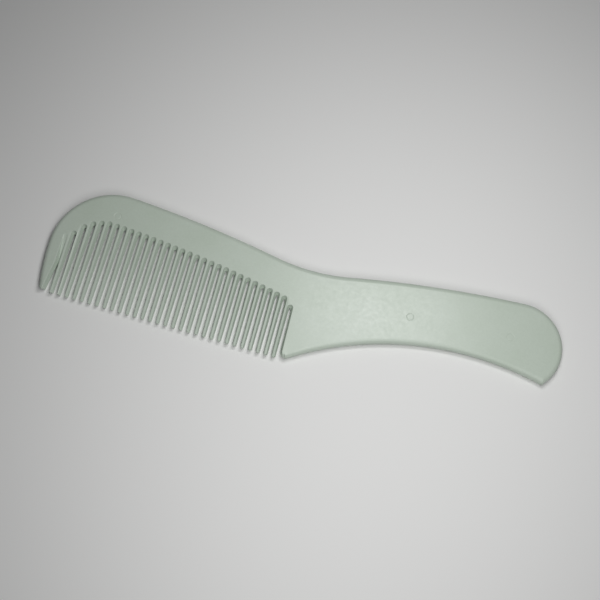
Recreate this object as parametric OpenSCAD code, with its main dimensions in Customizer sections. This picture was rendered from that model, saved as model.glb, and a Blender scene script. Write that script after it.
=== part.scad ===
// One-piece moulded handle comb. Millimetres, +Z up, lying flat on z = 0, teeth pointing to -Y.
// The plan is drawn from the leftmost point of the nose at [0, 0] and moved to the centre at the end.
// Heights are drawn from the parting plane at mid thickness, where the two mould halves meet.

/* [Body] */
// Thickness of the spine, the heel and the handle
body_thickness = 4; // [3.4:0.2:4.6]
// Width of the rounding along every free edge of the body
edge_round = 1.7; // [1.2:0.1:1.9]
// Height of the straight side wall, half of it above the parting plane
side_wall = 1.2; // [0.6:0.1:1.8]

/* [Back edge, a chain of tangent arcs from the nose to the butt] */
// Radius of the round nose
nose_radius = 21.5; // [21:0.1:22]
// Degrees that the nose turns
nose_turn = 95.4; // [95:0.1:96]
// Radius of the long crown of the spine
spine_radius = 454; // [440:1:470]
// Degrees that the spine turns
spine_turn = 6.9; // [6.8:0.05:7]
// Radius of the hollow at the neck
neck_radius = 68; // [66:0.5:70]
// Degrees that the neck turns back
neck_turn = 22.05; // [21.8:0.05:22.3]
// Radius of the back of the grip
grip_radius = 403; // [395:1:410]
// Degrees that the grip turns
grip_turn = 8.45; // [8.2:0.05:8.6]
// Radius of the round butt
butt_radius = 14.85; // [14:0.05:15.4]
// Degrees that the butt turns before its corner
butt_turn = 137.45; // [132:0.05:141]

/* [Underside of the handle] */
// Radius of the hollow that runs from the heel to the butt corner
under_radius = 106.2; // [102:0.2:114]
// Where the point of the heel would be without its rounding
heel_point = [88.6, -20.44]; // [88.4:0.1:88.8] and [-20.6:0.02:-20.3]
// Radius of the heel's rounded tip
heel_tip_radius = 1.8; // [1.5:0.1:2]

/* [Guard] */
// Radius of the guard's outer edge, from the nose down to its tip
guard_radius = 80; // [70:1:90]
// Y of the guard's tip
guard_tip_y = -17.5; // [-18:0.1:-17]
// Centre line of the slot between the guard and the first tooth
guard_slot_x = 5.23; // [5.2:0.01:5.25]
// Y where that slot starts to go right through
guard_slot_root = -7.8; // [-9:0.1:-7]
// Y where that slot runs out on the faces
guard_slot_top = 3; // [2:0.1:3.4]
// How far the guard's inner wall leans away from the first tooth for each millimetre down
guard_lean = 0.13; // [0.11:0.01:0.15]

/* [Teeth] */
// How many free teeth there are between the guard and the heel
tooth_count = 30; // [29:1:31]
// Distance from one tooth to the next
pitch = 2.709; // [2.7:0.001:2.72]
// Centre line of the first tooth
first_tooth_x = 6.33; // [6.31:0.01:6.36]
// Y of the first tooth's tip
first_tip_y = -18.2; // [-18.6:0.1:-17.6]
// Y of the last tooth's tip
last_tip_y = -20.7; // [-21:0.1:-20]
// Width of the flat land along each tooth
land_width = 0.7; // [0.6:0.05:0.8]
// Draft of the tooth flanks, degrees from upright
flank_draft = 19; // [17:0.5:20]
// How far the heel's wall leans away from the last tooth for each millimetre down
heel_lean = 0.015; // [0:0.005:0.02]
// How much each face of a tooth drops below its slot roots for each millimetre towards its tip
face_taper = 0.042; // [0.035:0.001:0.045]
// Radius that rounds the tips of the teeth and of the guard
tip_radius = 0.45; // [0.3:0.05:0.5]

/* [Slot roots] */
// Depth from the back edge to where the slots start to go right through
spine_depth = 11.75; // [11:0.05:12]
// Height of the scalloped ramp at the root of each slot
scallop_rise = 0.9; // [0.7:0.1:1.1]
// Height of solid body kept with each tooth above its slot roots
root_band = 2; // [1.9:0.1:2.4]
// Radius of the arch that the roots follow inside the nose
arch_radius = 13.4; // [13:0.1:13.8]
// X of that arch's centre
arch_x = 19; // [18.6:0.1:19.4]
// Radius of the bend that the roots follow beside the heel
bend_radius = 5; // [4.5:0.1:5.5]
// X of that bend's centre
bend_x = 81.7; // [81.5:0.1:81.9]

/* [Ejector pin marks] */
// Outer radius of the shallow rings that the ejector pins leave on the upper face
mark_radius = 1.35; // [1:0.05:1.6]
// Width of each ring
mark_width = 0.3; // [0.2:0.05:0.4]
// Depth of each ring
mark_depth = 0.08; // [0.04:0.02:0.16]
// Centres of the two rings on the handle
handle_marks = [[126, 3.8], [159.9, 5.4]]; // anywhere on the flat of the grip
// Centre of the ring on the head
head_mark = [20.4, 13.3]; // [18:0.1:22] and [12.4:0.1:14.5]

/* [Colour] */
// Colour of the moulding
body_colour = [0.76, 0.8, 0.75]; // red, green and blue, each from 0 to 1

/* [Hidden] */
half = body_thickness / 2;
lip_steps = 5;
edge_steps = 8;
scallop_steps = 3;
tip_steps = 3;
wall_steps = 4;
mark_facets = 48;
// Half the width of the slot beside the guard where it starts to go right through
root_gap = 0.05;
// Least width of flat land left on the guard between its outer rounding and its inner wall
least_land = 0.2;
// Keeps a division away from zero
tiny = 0.001;
// Share of the width at which opposite roundings stop short of each other
land_share = 0.97;
// How much of the heel's tip radius its rounding reaches in
tip_share = 0.6;
// Angles of the first section of the heel's tip, on its two sides
heel_foot = [262, 278];
// How strongly the heel's fan of sections crowds towards the tip
fan_crowding = 1.3;
// How far across each section of the heel its middle point lies
fan_middle = 0.3;
// Length of edge left out at the blunt butt corner
corner_cut = 0.4;
flank_slope = tan(flank_draft);

function dir(a) = [cos(a), sin(a)];
function mix(a, b, t) = a + (b - a) * t;
function heading(p) = atan2(p[1], p[0]);
function steps(n) = [for (i = [0:n]) i / n];

// Centres and tangent angles of the arcs of the back edge
nose_end = 180 - nose_turn;
nose_c = [nose_radius, 0];
spine_end = nose_end - spine_turn;
spine_c = nose_c + (nose_radius - spine_radius) * dir(nose_end);
neck_end = spine_end + 180 + neck_turn;
neck_c = spine_c + (spine_radius + neck_radius) * dir(spine_end);
grip_start = neck_end - 180;
grip_end = grip_start - grip_turn;
grip_c = neck_c + (neck_radius + grip_radius) * dir(neck_end);
butt_c = grip_c + (grip_radius - butt_radius) * dir(grip_end);
butt_end = grip_end - butt_turn;
butt_corner = butt_c + butt_radius * dir(butt_end);

// Underside: the circle of under_radius through the heel point and the butt corner
under_chord = butt_corner - heel_point;
under_sag = sqrt(pow(under_radius, 2) - pow(norm(under_chord) / 2, 2));
under_c = (heel_point + butt_corner) / 2 + under_sag * dir(heading(under_chord) - 90);

// Slot roots: a band that follows the spine, closed by an arch at the nose and a bend at the heel
root_radius = spine_radius - spine_depth;
arch_y = inner_y(arch_x, root_radius - arch_radius);
bend_y = inner_y(bend_x, root_radius - bend_radius);
arch_end = mix(spine_c[0], arch_x, root_radius / (root_radius - arch_radius));
bend_start = mix(spine_c[0], bend_x, root_radius / (root_radius - bend_radius));
function inner_y(x, r) = spine_c[1] + sqrt(pow(r, 2) - pow(x - spine_c[0], 2));
function circle_y(x, cx, cy, r) = cy + sqrt(pow(r, 2) - pow(x - cx, 2));
function band_y(x, out = 0) =
    x < arch_end ? circle_y(x, arch_x, arch_y, arch_radius + out)
    : x > bend_start ? circle_y(x, bend_x, bend_y, bend_radius + out)
    : inner_y(x, root_radius + out);

// Teeth and slots are counted from the nose; slot 0 lies before tooth 1
function tooth_x(k) = first_tooth_x + (k - 1) * pitch;
function tip_y(k) = mix(first_tip_y, last_tip_y, (k - 1) / (tooth_count - 1));
function slot_x(s) = s == 0 ? guard_slot_x : tooth_x(s) + pitch / 2;
function slot_root(s) = s == 0 ? guard_slot_root : band_y(slot_x(s));
function slot_top(s) = s == 0 ? guard_slot_top : band_y(slot_x(s)) + scallop_rise;
function join_y(s) = band_y(slot_x(s), root_band);
function join(s) = [slot_x(s), join_y(s)];
// Half thickness at height y of the wall of slot s on one side. side is -1 for the wall towards
// the nose and 1 for the other. The guard and the heel keep their full thickness.
function is_body(s, side) = side < 0 ? s == 0 : s == tooth_count;
function face_z(s, side, y) =
    half - (is_body(s, side) ? 0 : face_taper * max(0, slot_top(s) - y));

// Distance from the slot's centre line to its wall, at height y and at a share f of the way from
// the parting plane to a face that is tall above it
function wall_gap(s, side, y, f, tall) =
    s == 0 && side < 0
    ? root_gap + guard_lean * max(0, guard_slot_root - y) + f * tall * flank_slope
    : (s == 0 ? tooth_x(1) - guard_slot_x : pitch / 2) - land_width / 2
      - (1 - f) * tall * flank_slope
      + (is_body(s, side) ? heel_lean * max(0, slot_root(s) - y) : 0);
function end_radius(s, side, f) =
    mix(wall_gap(s, side, slot_root(s), 0, half), wall_gap(s, side, slot_top(s), 1, half), f);
function end_y(s, side, f) =
    mix(slot_root(s) - end_radius(s, side, 0), slot_top(s) - end_radius(s, side, 1), f);

// One side of a slot, from the open end y0 to the scallop and the join: a list of stations, each
// a list of points from the parting plane to the face
function slot_side(s, side, y0, levels, flank_n) = concat(
    [for (t = steps(flank_n)) let (tall = face_z(s, side, mix(y0, end_y(s, side, 1), t)))
        [for (f = levels) let (y = mix(y0, end_y(s, side, f), t))
            [slot_x(s) + side * wall_gap(s, side, y, f, tall), y, f * tall]]],
    [for (i = [1:scallop_steps])
        let (a = 90 * i / scallop_steps,
             tall = face_z(s, side, end_y(s, side, 1) + end_radius(s, side, 1) * sin(a)))
        [for (f = levels) let (r = end_radius(s, side, f))
            [slot_x(s) + (i < scallop_steps ? side * r * cos(a) : 0),
             end_y(s, side, f) + r * sin(a), f * tall]]],
    [join_wall(join(s), levels)]);
function join_wall(p, levels) = [for (f = levels) [p[0], p[1], f * half]];

// Cross-section of a rounded free edge at p, whose material lies towards n. reach is how far in
// the rounding may go before it meets the opposite edge.
function lip_z(d) = side_wall / 2 + (half - side_wall / 2) * sqrt(1 - pow(1 - d / edge_round, 2));
function lip(p, n, reach = edge_round) = [for (j = [0:lip_steps])
    let (a = 90 * max(0, j - 1) / (lip_steps - 1), d = min(reach, edge_round) * (1 - cos(a)))
    [p[0] + n[0] * d, p[1] + n[1] * d, j == 0 ? 0 : lip_z(d)]];
// Distance at which the insets of two edges meet
function meet(p, np, q, nq) = pow(norm(q - p), 2) / max(tiny, (q - p) * np + (p - q) * nq);
function lips(p, np, q, nq) = let (reach = land_share * meet(p, np, q, nq))
    ring(lip(p, np, reach), lip(q, nq, reach));

// A closed ring from the upper halves of two edge sections and the points between them, mirrored
// in the parting plane
function flip(points) = [for (p = points) [p[0], p[1], -p[2]]];
function back(list) = [for (i = [len(list) - 1:-1:0]) list[i]];
function part_of(list, from) = [for (i = [from:len(list) - 1]) list[i]];
function ring(left, right, between = []) = concat(left, between, back(right),
    part_of(flip(right), 1), back(flip(between)), back(part_of(flip(left), 1)));
function squeeze(r, centre, plan, height) = [for (p = r)
    [mix(centre, p[0], plan), p[1], p[2] * height]];

// A point of the back edge and the way into the material there, beyond a point p of the inside
function back_edge(p) =
    let (a_nose = heading(p - nose_c), a_spine = heading(p - spine_c), a_neck = heading(p - neck_c))
    a_spine > nose_end ? [nose_c + nose_radius * dir(a_nose), -dir(a_nose)]
    : a_spine > spine_end ? [spine_c + spine_radius * dir(a_spine), -dir(a_spine)]
    : [neck_c + neck_radius * dir(a_neck), dir(a_neck)];

// The solid between a row of rings that all have the same number of points
module skin(rings) {
    n = len(rings[0]);
    last = len(rings) - 1;
    polyhedron(
        points = [for (r = rings) each r],
        faces = concat(
            [[for (i = [0:n - 1]) i]],
            [for (k = [0:last - 1], i = [0:n - 1], h = [0:1])
                let (j = (i + 1) % n, a = k * n)
                h == 0 ? [a + i, a + n + i, a + n + j] : [a + i, a + n + j, a + j]],
            [[for (i = [0:n - 1]) last * n + (n - i) % n]]));
}

module place() {
    right = butt_c[0] + butt_radius;
    low = min(last_tip_y, heel_tip_c[1] - heel_tip_radius);
    translate([-right / 2, -(nose_radius + low) / 2, half]) children();
}

module pin_mark(centre) {
    translate([centre[0], centre[1], half - mark_depth])
        difference() {
            cylinder(h = 1, r = mark_radius, $fn = mark_facets);
            translate([0, 0, -1]) cylinder(h = 3, r = mark_radius - mark_width, $fn = mark_facets);
        }
}

// Tooth k with the band of solid body above its two slots
module tooth(k) {
    levels = [0, 1];
    x = tooth_x(k);
    y0 = tip_y(k) + tip_radius;
    left = slot_side(k - 1, 1, y0, levels, 1);
    right = slot_side(k, -1, y0, levels, 1);
    last = len(left) - 1;
    blade = [for (i = [0:last])
        let (a = left[i][1], b = right[i][1], high = a[1] > b[1] ? a : b)
        ring(left[i], right[i], [i < last ? [x, high[1], high[2]] : (a + b) / 2])];
    wide = abs(right[0][0][0] - x);
    tall = face_z(k, -1, y0);
    tip = [for (i = [0:tip_steps - 1])
        let (a = 90 * i / tip_steps, cut = tip_radius * (1 - sin(a)))
        [for (p = squeeze(blade[0], x, 1 - cut / wide, 1 - cut / tall))
            [p[0], tip_y(k) + tip_radius * (1 - cos(a)), p[2]]]];
    color(body_colour) place() skin(concat(tip, blade));
}

// Nose and guard: from the guard's tip up its outer edge and round the nose to slot nose_slots
nose_slots = 7;
lip_levels = steps(lip_steps);
function guard_edge(y) = y < 0
    ? let (a = asin(-y / guard_radius)) [[guard_radius * (1 - cos(a)), y], dir(a)]
    : let (a = 180 - asin(y / nose_radius)) [nose_c + nose_radius * dir(a), -dir(a)];
module nose_guard() {
    y0 = guard_tip_y + tip_radius;
    wall = slot_side(0, -1, y0, lip_levels, wall_steps);
    along = [for (i = [0:len(wall) - 2])
        let (face = wall[i][lip_steps], e = guard_edge(face[1]))
        ring(lip(e[0], e[1], face[0] - e[0][0] - least_land), wall[i])];
    centre = (along[0][0][0] + wall[0][0][0]) / 2;
    wide = wall[0][0][0] - centre;
    tip = [for (i = [0:tip_steps - 1])
        let (a = 90 * i / tip_steps, cut = tip_radius * (1 - sin(a)))
        [for (p = squeeze(along[0], centre, 1 - cut / wide, 1 - cut / half))
            [p[0], guard_tip_y + tip_radius * (1 - cos(a)), p[2]]]];
    around = [for (s = [0:nose_slots]) spine_ring(s)];
    color(body_colour)
        difference() {
            place() skin(concat(tip, along, around));
            place() pin_mark(head_mark);
        }
}

// Spine: one ring at every slot, from the nose to the heel
function spine_ring(s) = let (e = back_edge(join(s)))
    ring(lip(e[0], e[1]), join_wall(join(s), lip_levels));
module spine() {
    color(body_colour) place() skin([for (s = [nose_slots:tooth_count]) spine_ring(s)]);
}

// Heel and neck: a fan of rings from the heel's tip, between the last slot and the back edge on one
// side and the underside on the other. Each ring has one more point on each face, at the middle of
// the fan.
tip_reach = tip_share * heel_tip_radius;
heel_tip_x = slot_x(tooth_count) + wall_gap(tooth_count, 1, last_tip_y, 0, half) + heel_tip_radius;
heel_tip_c = [heel_tip_x,
    under_c[1] + sqrt(pow(under_radius + heel_tip_radius, 2) - pow(heel_tip_x - under_c[0], 2))];
under_start = heading(heel_tip_c - under_c);
under_end = heading(butt_corner - under_c);
// Angles on the underside of the section where the neck becomes the grip, and of the one where
// the grip becomes the butt
under_neck = 110.8;
under_butt = 82;
function under_edge(a) = [under_c + under_radius * dir(a), dir(a)];
function both(e, g) = lips(e[0], e[1], g[0], g[1]);
neck_foot = neck_c + neck_radius * dir(neck_end);
neck_under = under_edge(under_neck)[0];
across = (neck_under - neck_foot) / norm(neck_under - neck_foot);
module heel() {
    tip = [for (i = [0:tip_steps - 1])
        let (t = i / tip_steps,
             a = mix(heel_foot[0], 180, t), b = mix(heel_foot[1], under_start + 180, t),
             left = lip(heel_tip_c + heel_tip_radius * dir(a), -dir(a), tip_reach),
             right = lip(heel_tip_c + heel_tip_radius * dir(b), -dir(b), tip_reach))
        ring(left, right, [(left[lip_steps] + right[lip_steps]) / 2])];
    wall = slot_side(tooth_count, 1, heel_tip_c[1], lip_levels, wall_steps);
    n = len(wall) + edge_steps;
    top = heading(join(tooth_count) - neck_c) + 360;
    fan = [for (i = [0:n])
        let (t = i / n,
             g = under_edge(mix(under_start, under_neck, pow(t, fan_crowding))),
             right = lip(g[0], i < n ? g[1] : -across, mix(tip_reach, edge_round, min(1, 2 * t))),
             a = mix(top, neck_end, max(0, i - len(wall)) / edge_steps),
             left = i < len(wall) ? wall[i]
                 : lip(neck_c + neck_radius * dir(a), i < n ? dir(a) : across),
             from = left[lip_steps],
             to = right[lip_steps])
        ring(left, right, [[mix(from[0], to[0], fan_middle),
            mix(from[1], to[1], i > 0 && i < len(wall) ? 0 : fan_middle), half]])];
    color(body_colour) place() skin(concat(tip, fan));
}

// Handle: grip and butt, narrowing to the blunt corner
module handle() {
    grip = [for (t = steps(edge_steps))
        let (a = mix(grip_start, grip_end, t), b = mix(under_neck, under_butt, t))
        t == 0 ? ring(lip(neck_foot, across), lip(neck_under, -across))
        : both([grip_c + grip_radius * dir(a), -dir(a)], under_edge(b))];
    butt = [for (t = part_of(steps(2 * edge_steps), 1))
        let (a = mix(grip_end, butt_end + corner_cut / butt_radius * 180 / PI, t),
             b = mix(under_butt, under_end + corner_cut / under_radius * 180 / PI, t))
        both([butt_c + butt_radius * dir(a), -dir(a)], under_edge(b))];
    color(body_colour)
        difference() {
            place() skin(concat(grip, butt));
            place() for (m = handle_marks) pin_mark(m);
        }
}

function tooth_name(k) = str("tooth_", k < 10 ? "0" : "", k);

nose_guard();
spine();
heel();
handle();
for (k = [1:tooth_count])
    tooth(k);
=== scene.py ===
"""Looks of a one-piece moulded handle comb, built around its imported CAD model.

Each CAD node is rebuilt in its place as a finer skin, by the same plan as the CAD source: closed rings of
points that run along the piece, each mirrored in the parting plane. The finer skin adds what the CAD leaves
out: small radii on the creases of the teeth, a fine ridge along the parting line and rounded ejector pin
marks. Normals are worked out over the whole moulding, so that the joins between its pieces don't show.

The plan is in millimetres. The leftmost point of the nose is [0, 0], X runs to the butt, Y to the back edge,
and heights are from the parting plane. Angles are in degrees, counter-clockwise from +X.
"""

import bmesh
import bpy
import numpy as np
from mathutils import Matrix, Vector, kdtree
from mathutils.bvhtree import BVHTree


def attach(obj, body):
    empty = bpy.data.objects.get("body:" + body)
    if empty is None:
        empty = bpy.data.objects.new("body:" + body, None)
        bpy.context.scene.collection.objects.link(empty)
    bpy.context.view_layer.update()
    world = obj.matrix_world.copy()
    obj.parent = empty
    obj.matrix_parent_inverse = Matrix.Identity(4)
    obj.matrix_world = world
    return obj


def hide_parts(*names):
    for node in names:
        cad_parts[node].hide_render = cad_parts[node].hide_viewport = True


MM = 0.001  # metres in a millimetre
TINY = 0.001  # keeps a divisor away from zero

# Body
HALF = 2.0  # half the thickness of the body
EDGE_ROUND = 1.7  # width of the rounding along every free edge
SIDE_WALL = 1.2  # height of the straight side wall
MEET_SHARE = 0.97  # where two roundings would meet, each stops at this share of the way

# Back edge: a chain of tangent arcs from the nose to the butt
NOSE_RADIUS, NOSE_TURN = 21.5, 95.4
SPINE_RADIUS, SPINE_TURN = 454.0, 6.9
NECK_RADIUS, NECK_TURN = 68.0, 22.05
GRIP_RADIUS, GRIP_TURN = 403.0, 8.45
BUTT_RADIUS, BUTT_TURN = 14.85, 137.45
CORNER_CUT = 0.4  # how far short of the butt's corner its two edges stop

# Underside of the handle
UNDER_RADIUS = 106.2
HEEL_POINT = np.array([88.6, -20.44])  # where the heel's point would be without its rounding
HEEL_TIP_RADIUS = 1.8
TIP_SHARE = 0.6  # width of the edge rounding at the heel's tip, as a share of the tip's radius
HEEL_FOOT = 270  # direction in which the heel's tip points
HEEL_FOOT_GAP = 1  # how far to each side of it the two edges start
FAN_CROWDING = 1.3  # power that crowds the heel's rings towards its tip along the underside
FAN_MIDDLE = 0.3  # how far across the heel the middle point of a ring lies
UNDER_NECK, UNDER_BUTT = 110.8, 82.0  # where the sections at the two ends of the grip meet the underside

# Guard
GUARD_RADIUS = 80.0  # of its outer edge
GUARD_TIP_Y = -17.5
GUARD_SLOT_X = 5.23
GUARD_SLOT_ROOT, GUARD_SLOT_TOP = -7.8, 3.0  # where slot 0 ends at the parting plane and at the face
GUARD_LEAN = 0.13  # how fast the guard's inner wall draws away from the line of slot 0
ROOT_GAP = 0.05  # from that line to the guard's wall at the slot's root
LEAST_LAND = 0.2  # least width left between the guard's rounded edge and its inner wall

# Teeth
TOOTH_COUNT = 30
PITCH = 2.709
FIRST_TOOTH_X = 6.33
FIRST_TIP_Y, LAST_TIP_Y = -18.2, -20.7
LAND_WIDTH = 0.7  # width of a tooth at its face, from crease to crease
FLANK_SLOPE = np.tan(np.radians(19.0))  # draft of the walls of the slots
HEEL_LEAN = 0.015  # how fast the heel's wall draws away from the line of the last slot
FACE_TAPER = 0.042  # how fast half the thickness of a tooth falls towards its tip
TIP_RADIUS = 0.45

# Slot roots
SPINE_DEPTH = 11.75  # from the spine's back edge to the line of roots
SCALLOP_RISE = 0.9  # how much further a slot's root runs at the face than at the parting plane
ROOT_BAND = 2.0  # width of the band beyond the roots that belongs to the teeth
ARCH_RADIUS, ARCH_X = 13.4, 19.0
BEND_RADIUS, BEND_X = 5.0, 81.7
NOSE_SLOTS = 7  # the nose piece ends above this slot

# Ejector pin marks
MARK_RADIUS, MARK_WIDTH, MARK_DEPTH = 1.35, 0.42, 0.11  # of the ring: outer radius, width and depth
MARK_DISC = 0.02  # how far the disc inside a ring lies below the face
MARK_CLEAR = 0.1  # how far the cutter stands out of the face and past the ring
HANDLE_MARKS = [(126.0, 3.8), (159.9, 5.4)]
HEAD_MARKS = [(20.4, 13.3)]

# Fine detail of the skin
CREASE = 0.12  # reach of the rounding on the creases between a slot's walls and the faces
BLUNT = 0.03  # how much the parting edge of a slot's wall is blunted
SEAM_STEP = 0.03  # how far the parting ridge stands out of the side wall
SEAM_HALF = 0.06  # half the height of that ridge
CORNER_ROUND = 0.35  # how far the rounded end of the butt corner stands out
TOUCH = 0.02  # faces of two pieces that are nearer than this lie against each other
FACING = -0.9  # and their normals have a dot product below this
WELD = 0.001  # corners nearer than this are one corner of the moulding
NO_NORMAL = 1e-9  # a summed normal shorter than this has no direction

# How many steps each stretch of the skin is made in
LIP_STEPS = 11
CREASE_STEPS = 6
WALL_POINTS = 7
FLANK_STEPS = 14
SCALLOP_STEPS = 10
TIP_STEPS = 8
INNER_STEPS = 6
NOSE_STEPS = 4
SPINE_STEPS = 3
EDGE_STEPS = 24
CORNER_STEPS = 8
MARK_STEPS = 8
MARK_FACETS = 64

# Plastic: sizes are in millimetres, and colours are linear
TONES = (0.545, 0.625, 0.535, 1), (0.575, 0.65, 0.57, 1)
TONE_SIZE = 14
GRAIN_COLOUR, GRAIN_SIZE, GRAIN_SHARE = (0.6, 0.6, 0.58, 1), 0.7, 0.12
SPECK_COLOUR, SPECK_SHARE = (0.2, 0.19, 0.16, 1), 0.5
SPECK_SPACING = 9
SPECK_EDGE = 0.008, 0.02  # where a speck starts to fade and where it ends, as shares of the spacing
GLOSS_SIZE, ROUGHNESS = 1.1, (0.29, 0.37)
COARSE_SIZE, COARSE_HEIGHT = 2.5, 0.007
FINE_SIZE, FINE_HEIGHT = 0.35, 0.003
PLASTIC_IOR = 1.49

# Floor and surround
FLOOR_REACH = 1.5  # metres from the middle to each side
FLOOR_COLOUR, FLOOR_ROUGHNESS = (0.85, 0.85, 0.84, 1), 0.8
SURROUND_COLOUR, SURROUND_STRENGTH = (0.96, 0.98, 1.0, 1), 0.06

# Lights: name, place and size in metres, and power in watts. All point at one spot on the handle.
LIGHT_AIM = (0.03, 0.0, 0.0)
LIGHTS = [
    ("main", (0.036, -0.03, 0.23), (0.12, 0.12), 0.168),
    ("front", (0.04, -0.13, 0.18), (0.1, 0.1), 0.1),
    ("back", (0.03, 0.054, 0.2), (0.1, 0.04), 0.125),
]

# Camera
CAMERA_TILT = 14.5  # from straight down
CAMERA_TURN = -14.527  # about the vertical
CAMERA_DISTANCE = 0.28799  # metres
CAMERA_AIM = np.array([-0.203, 0.272, 2.0]) * MM
SENSOR_WIDTH, FOCAL_LENGTH = 36, 51
CLIP_START, CLIP_END = 0.01, 10  # metres


def unit(angle):
    """The unit vector in a direction on the plan."""
    return np.array([np.cos(np.radians(angle)), np.sin(np.radians(angle))])


def mix(a, b, t):
    return a + (b - a) * t


def heading(v):
    """The direction of a vector on the plan."""
    return np.degrees(np.arctan2(v[1], v[0]))


def steps(n):
    """Shares of the way from 0 to 1, in n steps."""
    return np.linspace(0, 1, n + 1)


def ease(t):
    t = np.clip(t, 0, 1)
    return t * t * (3 - 2 * t)


# Centres and tangent angles of the arcs of the back edge
NOSE_END = 180 - NOSE_TURN
NOSE_C = np.array([NOSE_RADIUS, 0.0])
SPINE_END = NOSE_END - SPINE_TURN
SPINE_C = NOSE_C + (NOSE_RADIUS - SPINE_RADIUS) * unit(NOSE_END)
NECK_END = SPINE_END + 180 + NECK_TURN
NECK_C = SPINE_C + (SPINE_RADIUS + NECK_RADIUS) * unit(SPINE_END)
GRIP_START = NECK_END - 180
GRIP_END = GRIP_START - GRIP_TURN
GRIP_C = NECK_C + (NECK_RADIUS + GRIP_RADIUS) * unit(NECK_END)
BUTT_C = GRIP_C + (GRIP_RADIUS - BUTT_RADIUS) * unit(GRIP_END)
BUTT_END = GRIP_END - BUTT_TURN
BUTT_CORNER = BUTT_C + BUTT_RADIUS * unit(BUTT_END)

# Underside: the circle of UNDER_RADIUS through the heel point and the butt corner
UNDER_CHORD = BUTT_CORNER - HEEL_POINT
UNDER_SAG = np.sqrt(UNDER_RADIUS**2 - (np.linalg.norm(UNDER_CHORD) / 2) ** 2)
UNDER_C = (HEEL_POINT + BUTT_CORNER) / 2 + UNDER_SAG * unit(heading(UNDER_CHORD) - 90)

# Slot roots: a band that follows the spine, closed by an arch at the nose and a bend at the heel
ROOT_RADIUS = SPINE_RADIUS - SPINE_DEPTH


def circle_y(x, centre, radius):
    """Height on the plan of the upper half of a circle."""
    return centre[1] + np.sqrt(radius**2 - (x - centre[0]) ** 2)


ARCH_C = np.array([ARCH_X, circle_y(ARCH_X, SPINE_C, ROOT_RADIUS - ARCH_RADIUS)])
BEND_C = np.array([BEND_X, circle_y(BEND_X, SPINE_C, ROOT_RADIUS - BEND_RADIUS)])
ARCH_END = mix(SPINE_C[0], ARCH_X, ROOT_RADIUS / (ROOT_RADIUS - ARCH_RADIUS))
BEND_START = mix(SPINE_C[0], BEND_X, ROOT_RADIUS / (ROOT_RADIUS - BEND_RADIUS))


def band_y(x, out=0.0):
    """Height on the plan of the line of slot roots, moved out by a distance."""
    if x < ARCH_END:
        return circle_y(x, ARCH_C, ARCH_RADIUS + out)
    if x > BEND_START:
        return circle_y(x, BEND_C, BEND_RADIUS + out)
    return circle_y(x, SPINE_C, ROOT_RADIUS + out)


# Teeth and slots are counted from the nose; slot 0 lies before tooth 1
def tooth_x(k):
    return FIRST_TOOTH_X + (k - 1) * PITCH


def tip_y(k):
    return mix(FIRST_TIP_Y, LAST_TIP_Y, (k - 1) / (TOOTH_COUNT - 1))


def slot_x(s):
    return GUARD_SLOT_X if s == 0 else tooth_x(s) + PITCH / 2


def slot_root(s):
    return GUARD_SLOT_ROOT if s == 0 else band_y(slot_x(s))


def slot_top(s):
    return GUARD_SLOT_TOP if s == 0 else band_y(slot_x(s)) + SCALLOP_RISE


def join(s):
    """Where the two teeth beside slot s and the body above it meet."""
    return np.array([slot_x(s), band_y(slot_x(s), ROOT_BAND)])


def face_z(s, side, y):
    """Half thickness beside slot s. Side is -1 towards the nose; the guard and the heel don't taper."""
    is_body = s == (0 if side < 0 else TOOTH_COUNT)
    return HALF if is_body else HALF - FACE_TAPER * max(0.0, slot_top(s) - y)


def wall_gap(s, side, y, rise, tall):
    """Distance from the slot's centre line to its wall, at a share of the way up to the face."""
    if s == 0 and side < 0:
        return ROOT_GAP + GUARD_LEAN * np.maximum(0, GUARD_SLOT_ROOT - y) + rise * tall * FLANK_SLOPE
    to_land = (tooth_x(1) - GUARD_SLOT_X if s == 0 else PITCH / 2) - LAND_WIDTH / 2
    lean = HEEL_LEAN * np.maximum(0, slot_root(s) - y) if s == TOOTH_COUNT and side > 0 else 0
    return to_land - (1 - rise) * tall * FLANK_SLOPE + lean


def end_radius(s, side, rise):
    """Radius of the round end of slot s, at a share of the way up to the face."""
    low = wall_gap(s, side, slot_root(s), 0.0, HALF)
    return mix(low, wall_gap(s, side, slot_top(s), 1.0, HALF), rise)


def end_y(s, side, rise):
    """Where that round end starts."""
    low = slot_root(s) - end_radius(s, side, 0.0)
    return mix(low, slot_top(s) - end_radius(s, side, 1.0), rise)


# A slot's wall in section: shares of the way up, and how far each point lies past the wall's line. The
# parting edge is blunted, and the crease at the face is a curve whose control point is the crease itself.
BLUNT_RISE = np.array([0.0, 0.012, 0.035])
CREASE_T = steps(CREASE_STEPS)[1:]
CREASE_START = 1 - CREASE / HALF
WALL_RISE = np.linspace(BLUNT_RISE[-1], CREASE_START, WALL_POINTS)[1:]
RISE = np.concatenate([BLUNT_RISE, WALL_RISE, 1 - (1 - CREASE_START) * (1 - CREASE_T) ** 2])
PAST = np.concatenate([BLUNT * (1 - steps(2)) ** 2, 0 * WALL_RISE, CREASE * CREASE_T**2])


def points(x, y, z):
    """Rows of [x, y, z], each from a list or from one number for all."""
    return np.stack(np.broadcast_arrays(x, y, z), axis=1).astype(float)


def join_line(p):
    """The section at a join: a straight line from the parting plane up to the face."""
    return points(p[0], p[1], np.linspace(0, HALF, len(RISE)))


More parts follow.
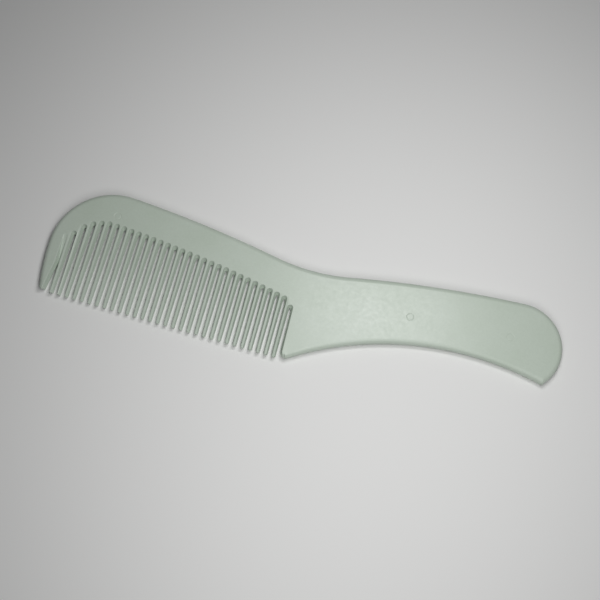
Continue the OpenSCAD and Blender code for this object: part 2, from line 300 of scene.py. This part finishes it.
def slot_side(s, side, y0, flank_steps=FLANK_STEPS):
    """Stations along one wall of slot s, from its open end through the scalloped root to the join."""
    x, ends, radii = slot_x(s), end_y(s, side, RISE), end_radius(s, side, RISE)
    top, wide = end_y(s, side, 1.0), end_radius(s, side, 1.0)
    stations = []
    for t in steps(flank_steps):
        y, tall = mix(y0, ends, t), face_z(s, side, mix(y0, top, t))
        stations.append(points(x + side * (wall_gap(s, side, y, RISE, tall) + PAST), y, RISE * tall))
    for turn in 90 * steps(SCALLOP_STEPS)[1:]:
        across, along = unit(turn)
        tall = face_z(s, side, top + wide * along)
        reach = radii + PAST
        stations.append(points(x + side * reach * across, ends + reach * along, RISE * tall))
    return stations + [join_line(join(s))]


def lip(p, into, reach=EDGE_ROUND):
    """Section of a rounded edge at p, with the parting ridge at its foot. Into points to the material."""
    depth = min(reach, EDGE_ROUND) * (1 - np.cos(np.radians(90 * steps(LIP_STEPS))))
    z = SIDE_WALL / 2 + (HALF - SIDE_WALL / 2) * np.sqrt(1 - (1 - depth / EDGE_ROUND) ** 2)
    depth = SEAM_STEP + depth * (1 - SEAM_STEP / EDGE_ROUND)
    depth = np.concatenate([[0, 0, SEAM_STEP], depth])
    z = np.concatenate([[0, SEAM_HALF, SEAM_HALF + SEAM_STEP], z])
    return points(p[0] + into[0] * depth, p[1] + into[1] * depth, z)


def lips(p, into_p, q, into_q):
    """The ring between two free edges, whose roundings stop where they meet."""
    meet = (q - p) @ (q - p) / max(TINY, (q - p) @ into_p + (p - q) @ into_q)
    return ring(lip(p, into_p, MEET_SHARE * meet), lip(q, into_q, MEET_SHARE * meet))


def ring(left, right, between=()):
    """A closed ring from the upper halves of two edge sections, mirrored in the parting plane."""
    upper = np.concatenate([left, np.reshape(between, (-1, 3)), right[::-1]])
    return np.concatenate([upper, (upper * [1, 1, -1])[-2:0:-1]])


def squeeze(points_in, centre_x, plan, height, y):
    """A ring made narrower about centre_x and lower, and set at y."""
    out = points_in.copy()
    out[:, 0] = mix(centre_x, points_in[:, 0], plan)
    out[:, 1] = y
    out[:, 2] *= height
    return out


def tip_rings(first, centre_x, end, tall):
    """Rings that round off a blade beyond its first ring, down to its end."""
    wide, made = abs(first[0][0] - centre_x), []
    for t in steps(TIP_STEPS)[:-1]:
        across, along = unit(90 * t)
        cut = TIP_RADIUS * (1 - along)
        y = end + TIP_RADIUS * (1 - across)
        made.append(squeeze(first, centre_x, 1 - cut / wide, 1 - cut / tall, y))
    return made


def back_edge(p):
    """The point of the back edge beyond p, and the way into the material there."""
    if heading(p - SPINE_C) > NOSE_END:
        out = unit(heading(p - NOSE_C))
        return NOSE_C + NOSE_RADIUS * out, -out
    if heading(p - SPINE_C) > SPINE_END:
        out = unit(heading(p - SPINE_C))
        return SPINE_C + SPINE_RADIUS * out, -out
    out = unit(heading(p - NECK_C))
    return NECK_C + NECK_RADIUS * out, out


def guard_edge(y):
    """The point of the outer edge at y, on the guard or the nose, and the way into the material there."""
    if y < 0:
        turn = np.degrees(np.arcsin(-y / GUARD_RADIUS))
        return np.array([GUARD_RADIUS * (1 - np.cos(np.radians(turn))), y]), unit(turn)
    out = unit(180 - np.degrees(np.arcsin(y / NOSE_RADIUS)))
    return NOSE_C + NOSE_RADIUS * out, -out


def under_edge(angle):
    """The point of the underside at an angle, and the way into the material there."""
    return UNDER_C + UNDER_RADIUS * unit(angle), unit(angle)


def body_rings(first, last, per_slot):
    """Rings between the back edge and the slots' joins, from one slot to another."""
    made = []
    for s in np.linspace(first, last, (last - first) * per_slot + 1):
        low = min(int(s), last - 1)
        p = mix(join(low), join(low + 1), s - low)
        made.append(ring(lip(*back_edge(p)), join_line(p)))
    return made


def tooth(k):
    """Tooth k with the band of solid body above its two slots."""
    x, y0 = tooth_x(k), tip_y(k) + TIP_RADIUS
    left, right = slot_side(k - 1, 1, y0), slot_side(k, -1, y0)
    blade = []
    for a, b in zip(left[:-1], right[:-1]):
        high = a[-1] if a[-1][1] > b[-1][1] else b[-1]
        blade.append(ring(a, b, [x, high[1], high[2]]))
    blade.append(ring(left[-1], right[-1], (left[-1][-1] + right[-1][-1]) / 2))
    return tip_rings(blade[0], x, tip_y(k), face_z(k, -1, y0)) + blade


def nose_guard():
    """The guard from its tip up, and the nose to the slot where the spine starts."""
    wall = slot_side(0, -1, GUARD_TIP_Y + TIP_RADIUS, 2 * FLANK_STEPS)
    along = []
    for station in wall[:-1]:
        edge, into = guard_edge(station[-1][1])
        along.append(ring(lip(edge, into, station[-1][0] + CREASE - LEAST_LAND - edge[0]), station))
    for t in steps(INNER_STEPS)[1:-1]:
        station = mix(wall[-2], wall[-1], t)
        along.append(ring(lip(*back_edge(station[-1][:2])), station))
    centre_x = (along[0][0][0] + wall[0][0][0]) / 2
    return tip_rings(along[0], centre_x, GUARD_TIP_Y, HALF) + along + body_rings(0, NOSE_SLOTS, NOSE_STEPS)


def spine():
    """The back bar between the nose and the heel."""
    return body_rings(NOSE_SLOTS, TOOTH_COUNT, SPINE_STEPS)


# Heel: a fan of rings from the tip, between the last slot and the back edge on one side and the underside
TIP_REACH = TIP_SHARE * HEEL_TIP_RADIUS
HEEL_TIP_X = slot_x(TOOTH_COUNT) + wall_gap(TOOTH_COUNT, 1, LAST_TIP_Y, 0.0, HALF) + HEEL_TIP_RADIUS
HEEL_TIP_C = np.array([HEEL_TIP_X, circle_y(HEEL_TIP_X, UNDER_C, UNDER_RADIUS + HEEL_TIP_RADIUS)])
UNDER_START = heading(HEEL_TIP_C - UNDER_C)
UNDER_END = heading(BUTT_CORNER - UNDER_C)
NECK_FOOT = NECK_C + NECK_RADIUS * unit(NECK_END)
NECK_UNDER = under_edge(UNDER_NECK)[0]
ACROSS = (NECK_UNDER - NECK_FOOT) / np.linalg.norm(NECK_UNDER - NECK_FOOT)


def turned(into, across, t):
    """Turns the way into the material towards the line across the join of heel and handle."""
    into = mix(into, across, t)
    return into / np.linalg.norm(into)


def flank(p, into):
    """Section of a slot's wall whose foot is at p."""
    depth = RISE * HALF * FLANK_SLOPE + PAST
    return points(p[0] + into[0] * depth, p[1] + into[1] * depth, RISE * HALF)


def heel():
    """Heel and neck: a fan of rings round the tip, along the last slot and then along the back edge."""
    made = []
    for t in steps(TIP_STEPS)[:-1]:
        out_left = unit(mix(HEEL_FOOT - HEEL_FOOT_GAP, 180, t))
        out_right = unit(mix(HEEL_FOOT + HEEL_FOOT_GAP, UNDER_START + 180, t))
        p = HEEL_TIP_C + HEEL_TIP_RADIUS * out_left
        left = mix(lip(p, -out_left, TIP_REACH), flank(p, -out_left), ease(t))
        right = lip(HEEL_TIP_C + HEEL_TIP_RADIUS * out_right, -out_right, TIP_REACH)
        made.append(ring(left, right, (left[-1] + right[-1]) / 2))
    wall = slot_side(TOOTH_COUNT, 1, HEEL_TIP_C[1])
    n = len(wall) + EDGE_STEPS
    top = heading(join(TOOTH_COUNT) - NECK_C) + 360
    for i in range(n + 1):
        t = i / n
        near = ease((i - len(wall)) / EDGE_STEPS) ** 2
        edge, into = under_edge(mix(UNDER_START, UNDER_NECK, t**FAN_CROWDING))
        right = lip(edge, turned(into, -ACROSS, near), mix(TIP_REACH, EDGE_ROUND, min(1, 2 * t)))
        if i < len(wall):
            left = wall[i]
        else:
            out = unit(mix(top, NECK_END, (i - len(wall)) / EDGE_STEPS))
            left = lip(NECK_C + NECK_RADIUS * out, turned(out, ACROSS, near))
        a, b = left[-1], right[-1]
        rise = 0 if 0 < i < len(wall) else FAN_MIDDLE
        made.append(ring(left, right, [mix(a[0], b[0], FAN_MIDDLE), mix(a[1], b[1], rise), HALF]))
    return made


def handle():
    """Grip and butt, narrowing to the blunt corner."""
    made = []
    for t in steps(EDGE_STEPS):
        near = ease(1 - t) ** 2
        out = unit(mix(GRIP_START, GRIP_END, t))
        top = GRIP_C + GRIP_RADIUS * out
        edge, into = under_edge(mix(UNDER_NECK, UNDER_BUTT, t))
        made.append(lips(top, turned(-out, ACROSS, near), edge, turned(into, -ACROSS, near)))
    cut = np.degrees(CORNER_CUT)
    for t in steps(2 * EDGE_STEPS)[1:]:
        out = unit(mix(GRIP_END, BUTT_END + cut / BUTT_RADIUS, t))
        edge, into = under_edge(mix(UNDER_BUTT, UNDER_END + cut / UNDER_RADIUS, t))
        made.append(lips(BUTT_C + BUTT_RADIUS * out, -out, edge, into))
    end = made[-1]
    middle = end.mean(axis=0)
    ahead = middle - made[-2].mean(axis=0)
    ahead /= np.linalg.norm(ahead)
    for t in steps(CORNER_STEPS)[1:-1]:
        across, along = unit(90 * t)
        made.append(middle + (end - middle) * across + ahead * CORNER_ROUND * along)
    return made


def skin(name, rings):
    """A closed mesh object over a row of rings that all have the same number of points."""
    n, last = len(rings[0]), len(rings) - 1
    faces = [tuple(range(n)), tuple(last * n + i for i in reversed(range(n)))]
    for k in range(last):
        for i in range(n):
            j = (i + 1) % n
            faces.append((k * n + j, k * n + i, (k + 1) * n + i, (k + 1) * n + j))
    mesh = bpy.data.meshes.new(name)
    mesh.from_pydata(np.concatenate(rings).tolist(), [], faces)
    work = bmesh.new()
    work.from_mesh(mesh)
    bmesh.ops.recalc_face_normals(work, faces=work.faces)
    work.to_mesh(mesh)
    work.free()
    made = bpy.data.objects.new(name, mesh)
    bpy.context.scene.collection.objects.link(made)
    return made


def pin_mark(centre):
    """What a pin mark takes out of the upper face: a shallow disc and the rounded ring round it."""
    inner = MARK_RADIUS - MARK_WIDTH
    profile = [(inner, -MARK_DISC)]
    for t in steps(MARK_STEPS)[1:]:
        depth = mix(MARK_DISC, 0, t) + (MARK_DEPTH - MARK_DISC) * np.sin(np.pi * t)
        profile.append((mix(inner, MARK_RADIUS, t), -depth))
    profile.append((MARK_RADIUS + MARK_CLEAR, MARK_CLEAR))
    turns = [unit(360 * i / MARK_FACETS) for i in range(MARK_FACETS)]
    x, y = centre
    return [np.array([[x + r * u, y + r * v, HALF + z] for u, v in turns]) for r, z in profile]


def carve(piece, centres):
    """Cuts pin marks into a piece."""
    for centre in centres:
        cutter = skin("cutter", pin_mark(centre))
        cut = piece.modifiers.new("mark", "BOOLEAN")
        cut.operation = "DIFFERENCE"
        cut.solver = "EXACT"
        cut.object = cutter
        graph = bpy.context.evaluated_depsgraph_get()
        mesh = bpy.data.meshes.new_from_object(piece.evaluated_get(graph))
        piece.modifiers.clear()
        piece.data = mesh
        bpy.data.objects.remove(cutter)


def share_normals(made):
    """Gives all pieces the whole moulding's normals. Faces that lie against another piece don't count."""
    trees = []
    for o in made:
        corners = [v.co for v in o.data.vertices]
        trees.append(BVHTree.FromPolygons(corners, [p.vertices for p in o.data.polygons]))
    boxes = [(np.min(o.bound_box, axis=0) - TOUCH, np.max(o.bound_box, axis=0) + TOUCH) for o in made]

    def is_hidden(index, face):
        centre = np.array(face.center)
        for other, (low, high) in enumerate(boxes):
            if other == index or (centre < low).any() or (centre > high).any():
                continue
            hit = trees[other].find_nearest(face.center, TOUCH)
            if hit[1] is not None and hit[1].dot(face.normal) < FACING:
                return True
        return False

    places = kdtree.KDTree(sum(len(o.data.vertices) for o in made))
    start, total = [], 0
    for o in made:
        start.append(total)
        for v in o.data.vertices:
            places.insert(v.co, total + v.index)
        total += len(o.data.vertices)
    places.balance()
    sums = np.zeros((total, 3))
    for index, o in enumerate(made):
        for face in o.data.polygons:
            if not is_hidden(index, face):
                sums[[start[index] + v for v in face.vertices]] += np.array(face.normal) * face.area
    for index, o in enumerate(made):
        normals = []
        for v in o.data.vertices:
            near = [i for _, i, _ in places.find_range(v.co, WELD)]
            n = sums[near].sum(axis=0)
            size = np.linalg.norm(n)
            normals.append(tuple(n / size) if size > NO_NORMAL else tuple(v.normal))
        o.data.shade_smooth()
        o.data.normals_split_custom_set_from_vertices(normals)


def plastic():
    """Satin off-white plastic: a faint drift of tone, mottled gloss, a fine skin texture and rare specks."""
    material = bpy.data.materials.new("plastic")
    material.use_nodes = True
    nodes, links = material.node_tree.nodes, material.node_tree.links
    shader = nodes["Principled BSDF"]
    shader.inputs["IOR"].default_value = PLASTIC_IOR
    place = nodes.new("ShaderNodeTexCoord").outputs["Object"]

    def noise(size_mm, detail, rough=0.5):
        """Noise whose patches are about size_mm across."""
        node = nodes.new("ShaderNodeTexNoise")
        node.inputs["Scale"].default_value = 1 / (size_mm * MM)
        node.inputs["Detail"].default_value = detail
        node.inputs["Roughness"].default_value = rough
        links.new(place, node.inputs["Vector"])
        return node.outputs["Fac"]

    def spread(value, low, high, from_low=0.3, from_high=0.7):
        """Spreads a value over low to high. The ends of the usual noise are cut off."""
        node = nodes.new("ShaderNodeMapRange")
        node.inputs["From Min"].default_value = from_low
        node.inputs["From Max"].default_value = from_high
        node.inputs["To Min"].default_value = low
        node.inputs["To Max"].default_value = high
        links.new(value, node.inputs["Value"])
        return node.outputs["Result"]

    def blend(kind, factor, a, b):
        node = nodes.new("ShaderNodeMix")
        node.data_type = "RGBA"
        node.blend_type = kind
        for socket, value in (("Factor_Float", factor), ("A_Color", a), ("B_Color", b)):
            target = next(s for s in node.inputs if s.identifier == socket)
            if isinstance(value, bpy.types.NodeSocket):
                links.new(value, target)
            else:
                target.default_value = value
        return next(s for s in node.outputs if s.identifier == "Result_Color")

    def bump(height_mm, value):
        node = nodes.new("ShaderNodeBump")
        node.inputs["Strength"].default_value = 1.0
        node.inputs["Distance"].default_value = height_mm * MM
        links.new(value, node.inputs["Height"])
        return node

    tone = blend("MIX", spread(noise(TONE_SIZE, detail=3), 0, 1), *TONES)
    grain_share = spread(noise(GRAIN_SIZE, detail=4, rough=0.6), 0, GRAIN_SHARE)
    grain = blend("MULTIPLY", grain_share, tone, GRAIN_COLOUR)
    cells = nodes.new("ShaderNodeTexVoronoi")
    cells.inputs["Scale"].default_value = 1 / (SPECK_SPACING * MM)
    links.new(place, cells.inputs["Vector"])
    speck = spread(cells.outputs["Distance"], SPECK_SHARE, 0, *SPECK_EDGE)
    links.new(blend("MIX", speck, grain, SPECK_COLOUR), shader.inputs["Base Color"])
    links.new(spread(noise(GLOSS_SIZE, detail=3), *ROUGHNESS), shader.inputs["Roughness"])

    coarse = bump(COARSE_HEIGHT, noise(COARSE_SIZE, detail=2))
    fine = bump(FINE_HEIGHT, noise(FINE_SIZE, detail=3))
    links.new(coarse.outputs["Normal"], fine.inputs["Normal"])
    links.new(fine.outputs["Normal"], shader.inputs["Normal"])
    return material


def floor():
    """A plain pale floor under the comb."""
    mesh = bpy.data.meshes.new("floor")
    corners = [(x * FLOOR_REACH, y * FLOOR_REACH, 0) for x, y in ((-1, -1), (1, -1), (1, 1), (-1, 1))]
    mesh.from_pydata(corners, [], [(0, 1, 2, 3)])
    made = bpy.data.objects.new("floor", mesh)
    bpy.context.scene.collection.objects.link(made)
    material = bpy.data.materials.new("floor")
    material.use_nodes = True
    shader = material.node_tree.nodes["Principled BSDF"]
    shader.inputs["Base Color"].default_value = FLOOR_COLOUR
    shader.inputs["Roughness"].default_value = FLOOR_ROUGHNESS
    mesh.materials.append(material)


def softbox(name, place, size, power):
    """A soft elliptical light."""
    data = bpy.data.lights.new(name, "AREA")
    data.shape = "ELLIPSE"
    data.size, data.size_y = size
    data.energy = power
    made = bpy.data.objects.new(name, data)
    made.location = place
    made.rotation_euler = (Vector(LIGHT_AIM) - Vector(place)).to_track_quat("-Z", "Y").to_euler()
    bpy.context.scene.collection.objects.link(made)


def studio():
    """Three soft lights above the comb, and a dim even surround."""
    for light in LIGHTS:
        softbox(*light)
    world = bpy.data.worlds.new("surround")
    bpy.context.scene.world = world
    world.use_nodes = True
    background = world.node_tree.nodes["Background"]
    background.inputs["Color"].default_value = SURROUND_COLOUR
    background.inputs["Strength"].default_value = SURROUND_STRENGTH
    bpy.context.scene.view_settings.view_transform = "Standard"


def camera():
    """Looks down on the comb from the side of its teeth, with the comb turned in the view."""
    tilt, turn = np.radians(CAMERA_TILT), np.radians(CAMERA_TURN)
    away = np.array([np.sin(turn), np.cos(turn)])
    toward = np.array([-np.sin(tilt) * away[0], -np.sin(tilt) * away[1], np.cos(tilt)])
    place = CAMERA_AIM + CAMERA_DISTANCE * toward
    back = Vector(place - CAMERA_AIM).normalized()
    up = Vector((np.cos(tilt) * away[0], np.cos(tilt) * away[1], np.sin(tilt)))
    data = bpy.data.cameras.new("camera")
    data.sensor_width = SENSOR_WIDTH
    data.lens = FOCAL_LENGTH
    data.clip_start, data.clip_end = CLIP_START, CLIP_END
    made = bpy.data.objects.new("camera", data)
    made.matrix_world = Matrix.Translation(place) @ Matrix((up.cross(back), up, back)).transposed().to_4x4()
    bpy.context.scene.collection.objects.link(made)
    bpy.context.scene.camera = made


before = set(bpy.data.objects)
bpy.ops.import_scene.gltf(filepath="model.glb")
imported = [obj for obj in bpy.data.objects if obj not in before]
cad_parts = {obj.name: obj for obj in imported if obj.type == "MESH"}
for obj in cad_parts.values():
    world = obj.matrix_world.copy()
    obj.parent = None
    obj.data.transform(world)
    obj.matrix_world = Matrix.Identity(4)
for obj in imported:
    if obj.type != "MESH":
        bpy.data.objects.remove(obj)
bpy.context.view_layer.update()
camera()

nose_skin = skin("nose_guard_skin", nose_guard())
pieces = [nose_skin, skin("spine_skin", spine()), skin("heel_skin", heel())]
handle_skin = skin("handle_skin", handle())
pieces.append(handle_skin)
pieces += [skin(f"tooth_{k:02d}_skin", tooth(k)) for k in range(1, TOOTH_COUNT + 1)]
carve(nose_skin, HEAD_MARKS)
carve(handle_skin, HANDLE_MARKS)
share_normals(pieces)

# The frame's origin is below the middle of the plan's box, on the face that the comb lies on
low_y = min(LAST_TIP_Y, HEEL_TIP_C[1] - HEEL_TIP_RADIUS)
plan_centre = Vector(((BUTT_C[0] + BUTT_RADIUS) / 2, (NOSE_RADIUS + low_y) / 2, -HALF))
into_frame = Matrix.Scale(MM, 4) @ Matrix.Translation(-plan_centre)
moulding = plastic()
for piece in pieces:
    piece.data.transform(into_frame)
    piece.data.materials.append(moulding)
    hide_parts(piece.name.removesuffix("_skin"))
    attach(piece, "root")
floor()
studio()
